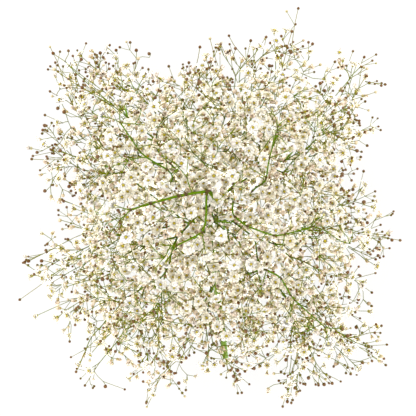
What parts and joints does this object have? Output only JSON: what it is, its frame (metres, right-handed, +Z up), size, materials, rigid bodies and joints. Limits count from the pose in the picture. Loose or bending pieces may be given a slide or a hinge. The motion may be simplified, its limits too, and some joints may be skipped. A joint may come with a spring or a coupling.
{
  "type": "gypsophila stem",
  "caption": "Cut flowering stem lying down, its fine forking sprays ending in many-petalled white blooms and round buds.",
  "frame": {"origin": "under the middle of the head's outline, on the surface the stem lies on", "axes": "+Z up from that surface; the stem's cut end points towards -Y"},
  "size_m": [0.2172, 0.2266, 0.1078],
  "materials": {
    "stem": "fresh green stem, satin",
    "spray": "soft white petals on thin green twigs, matt"
  },
  "bodies": {
    "root": {"stem": "stem", "rim_spray_1": "spray", "rim_spray_2": "spray", "rim_spray_3": "spray", "rim_spray_4": "spray", "rim_spray_5": "spray", "rim_spray_6": "spray", "rim_spray_7": "spray", "rim_spray_8": "spray", "rim_spray_9": "spray", "side_spray_1": "spray", "side_spray_2": "spray", "side_spray_3": "spray", "side_spray_4": "spray", "crown_spray_1": "spray", "crown_spray_2": "spray"}
  },
  "joints": []
}
